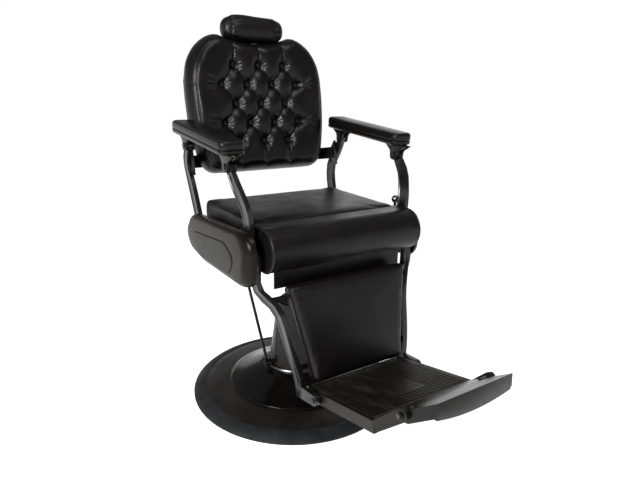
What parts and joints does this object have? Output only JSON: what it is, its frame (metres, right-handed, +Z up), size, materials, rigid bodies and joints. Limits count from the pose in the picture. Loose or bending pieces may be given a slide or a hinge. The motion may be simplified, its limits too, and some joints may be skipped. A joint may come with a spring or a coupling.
{
  "type": "reclining barber chair",
  "caption": "Black vintage-style reclining salon chair: tufted back, open cast arms, padded armrests, rolled seat front, hinged legrest and footplate, round pump base.",
  "frame": {"origin": "on the floor, on the axis of the column that the seat turns about", "axes": "+Z up along the column, the chair faces -Y, and +X is the sitter's left"},
  "size_m": [0.7059, 1.1673, 1.2496],
  "materials": {
    "black_vinyl": "satin, soft folds",
    "button_vinyl": "satin, covered buttons",
    "black_paint": "satin black enamel on cast iron",
    "dome_paint": "gloss black enamel",
    "disc_paint": "matt black enamel",
    "rim_rubber": "matt dark grey",
    "arm_pad_plastic": "satin moulded skin",
    "steel": "ground steel",
    "bolt_steel": "blackened steel",
    "foot_ring_steel": "polished ring",
    "board_wood": "plain plywood",
    "frame_steel": "satin black",
    "cover_board": "covered rear board",
    "grip_rubber": "matt black",
    "knob_plastic": "gloss black"
  },
  "bodies": {
    "base": {"base_plate": "disc_paint", "base_rim": "rim_rubber", "base_dome": "dome_paint", "column_shroud": "black_paint", "shroud_ring": "foot_ring_steel", "pump_cylinder": "frame_steel", "pump_bolts": "bolt_steel", "gland_ring": "black_paint"},
    "pump_lever": {"lever_hub": "black_paint", "lever_rod": "black_paint", "lever_grip": "grip_rubber"},
    "piston": {"piston_rod": "black_paint"},
    "seat": {"seat_hub": "black_paint", "seat_frame": "frame_steel", "frame_bolts": "bolt_steel", "seat_board": "board_wood", "seat_cushion": "black_vinyl", "front_roll": "black_vinyl", "front_apron": "cover_board", "side_casting_left": "black_paint", "side_casting_right": "black_paint", "casting_inset_left": "black_vinyl", "casting_inset_right": "black_vinyl", "linkage_pins": "steel"},
    "release_lever": {"release_lever": "black_paint", "release_knob": "knob_plastic"},
    "back": {"rear_post_left": "black_paint", "rear_post_right": "black_paint", "back_board": "board_wood", "back_cover": "cover_board", "back_cushion": "black_vinyl", "back_buttons": "button_vinyl", "back_bolts": "bolt_steel", "headrest_socket": "frame_steel", "headrest_knob": "knob_plastic"},
    "front_post_right": {"front_post_right": "black_paint"},
    "front_post_left": {"front_post_left": "black_paint"},
    "armrest_right": {"arm_frame_right": "black_paint", "arm_pad_right": "arm_pad_plastic", "arm_pins_right": "bolt_steel"},
    "armrest_left": {"arm_frame_left": "black_paint", "arm_pad_left": "arm_pad_plastic", "arm_pins_left": "bolt_steel"},
    "headrest_slide": {"headrest_bar": "steel"},
    "headrest": {"headrest_pillow": "black_vinyl", "headrest_plate": "frame_steel"},
    "legrest": {"leg_arm_left": "black_paint", "leg_arm_right": "black_paint", "leg_bars": "frame_steel", "leg_board": "board_wood", "leg_cushion": "black_vinyl", "foot_pins": "bolt_steel"},
    "footplate": {"footplate": "black_paint", "toe_pins": "bolt_steel"},
    "toe_board": {"toe_board": "black_paint"}
  },
  "joints": [
    {"name": "seat_lift", "type": "slide", "parent": "base", "child": "piston", "axis": [0, 0, 1], "range_m": [0, 0.16]},
    {"name": "seat_swivel", "type": "hinge", "parent": "piston", "child": "seat", "pos_m": [0, 0, 0.46], "axis": [0, 0, 1], "continuous": true},
    {"name": "pump_lever_swing", "type": "hinge", "parent": "base", "child": "pump_lever", "pos_m": [-0.1095, 0, 0.112], "axis": [-1, 0, 0], "range_deg": [0, 30], "stiffness_Nm_per_rad": 1.2, "springref_deg": -34.38},
    {"name": "release_lever_swing", "type": "hinge", "parent": "seat", "child": "release_lever", "pos_m": [0.3213, -0.111, 0.546], "axis": [1, 0, 0], "range_deg": [0, 20], "stiffness_Nm_per_rad": 0.4, "springref_deg": -28.65},
    {"name": "back_recline", "type": "hinge", "parent": "seat", "child": "back", "pos_m": [0, 0.14, 0.556], "axis": [-1, 0, 0], "range_deg": [0, 40]},
    {"name": "front_post_right_swing", "type": "hinge", "parent": "seat", "child": "front_post_right", "pos_m": [-0.27, -0.167, 0.533], "axis": [-1, 0, 0], "range_deg": [0, 40]},
    {"name": "front_post_left_swing", "type": "hinge", "parent": "seat", "child": "front_post_left", "pos_m": [0.27, -0.167, 0.533], "axis": [-1, 0, 0], "range_deg": [0, 40]},
    {"name": "armrest_right_swing", "type": "hinge", "parent": "back", "child": "armrest_right", "pos_m": [-0.294, 0.165, 0.844], "axis": [-1, 0, 0], "range_deg": [-40, 0]},
    {"name": "armrest_left_swing", "type": "hinge", "parent": "back", "child": "armrest_left", "pos_m": [0.294, 0.165, 0.844], "axis": [-1, 0, 0], "range_deg": [-40, 0]},
    {"name": "headrest_rise", "type": "slide", "parent": "back", "child": "headrest_slide", "axis": [0, 0.1736, 0.9848], "range_m": [0, 0.1]},
    {"name": "headrest_tilt", "type": "hinge", "parent": "headrest_slide", "child": "headrest", "pos_m": [0, 0.36353, 1.19891], "axis": [-1, 0, 0], "range_deg": [0, 30]},
    {"name": "legrest_lift", "type": "hinge", "parent": "seat", "child": "legrest", "pos_m": [0, -0.24, 0.581], "axis": [-1, 0, 0], "range_deg": [0, 44]},
    {"name": "footplate_fold", "type": "hinge", "parent": "legrest", "child": "footplate", "pos_m": [0, -0.418, 0.22], "axis": [-1, 0, 0], "range_deg": [0, 65]},
    {"name": "toe_board_tip", "type": "hinge", "parent": "footplate", "child": "toe_board", "pos_m": [0, -0.716, 0.337], "axis": [-1, 0, 0], "range_deg": [-30, 20]}
  ],
  "couplings": [
    {"joint": "front_post_right_swing", "follows": "back_recline", "ratio": 1},
    {"joint": "front_post_left_swing", "follows": "back_recline", "ratio": 1},
    {"joint": "armrest_right_swing", "follows": "back_recline", "ratio": -1},
    {"joint": "armrest_left_swing", "follows": "back_recline", "ratio": -1},
    {"joint": "legrest_lift", "follows": "back_recline", "ratio": 1.1}
  ]
}
